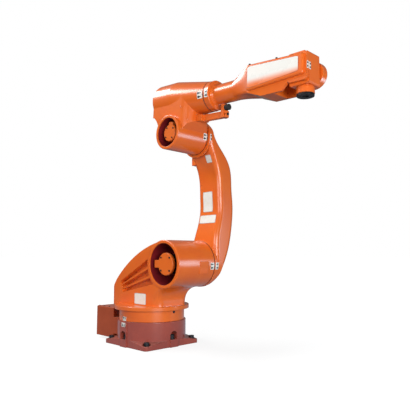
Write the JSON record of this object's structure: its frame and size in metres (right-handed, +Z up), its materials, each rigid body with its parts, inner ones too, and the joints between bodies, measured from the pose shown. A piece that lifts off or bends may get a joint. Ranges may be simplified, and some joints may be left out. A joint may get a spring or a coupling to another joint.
{
  "type": "industrial robot arm",
  "caption": "Floor-mounted six-axis industrial robot arm with slewing base, bowed lower arm, roll forearm, forked wrist and bolt-on tool flange.",
  "frame": {"origin": "on the slewing axis, at the underside of the base, on the floor-mounting face", "axes": "+X forward, the way the forearm points; +Y to the robot's left; +Z up"},
  "size_m": [1.2573, 0.431, 1.2138],
  "materials": {
    "orange_paint": "gloss",
    "brown_paint": "satin",
    "black_steel": "black oxide",
    "bare_metal": "satin",
    "black_plastic": "matt",
    "rubber": "matt"
  },
  "bodies": {
    "base": {"base_casting": "brown_paint", "anchor_bolts": "black_steel", "connector_box": "brown_paint", "connector_panel": "black_steel", "cable_sockets": "bare_metal"},
    "turret": {"turret_casting": "orange_paint", "shoulder_motor": "black_plastic", "shoulder_motor_cap": "orange_paint"},
    "lower_arm": {"lower_arm_casting": "orange_paint"},
    "elbow": {"elbow_casting": "orange_paint", "elbow_rear_cover": "orange_paint", "elbow_motor": "black_plastic", "elbow_motor_cap": "orange_paint", "stop_bracket": "orange_paint", "rubber_stop": "rubber"},
    "forearm": {"forearm_casting": "orange_paint", "right_side_cover": "orange_paint", "left_side_cover": "orange_paint", "wrist_axis_cap": "orange_paint"},
    "wrist": {"wrist_body": "orange_paint", "tool_housing": "orange_paint"},
    "tool": {"tool_flange": "black_steel"}
  },
  "joints": [
    {"name": "slew", "type": "hinge", "parent": "base", "child": "turret", "pos_m": [0, 0, 0.112], "axis": [0, 0, 1], "range_deg": [-170, 170]},
    {"name": "shoulder", "type": "hinge", "parent": "turret", "child": "lower_arm", "pos_m": [0.195, 0, 0.37], "axis": [0, 1, 0], "range_deg": [-90, 100]},
    {"name": "elbow", "type": "hinge", "parent": "lower_arm", "child": "elbow", "pos_m": [0.21338, 0, 0.95471], "axis": [0, -1, 0], "range_deg": [-75, 165]},
    {"name": "forearm_roll", "type": "hinge", "parent": "elbow", "child": "forearm", "pos_m": [0.41036, 0, 1.09358], "axis": [0.9991, 0, -0.0419], "range_deg": [-180, 180]},
    {"name": "wrist_bend", "type": "hinge", "parent": "forearm", "child": "wrist", "pos_m": [0.87296, 0, 1.0742], "axis": [0, -1, 0], "range_deg": [-47, 222]},
    {"name": "tool_roll", "type": "hinge", "parent": "wrist", "child": "tool", "pos_m": [0.87296, 0, 0.9822], "axis": [0, 0, -1], "range_deg": [-360, 360]}
  ]
}
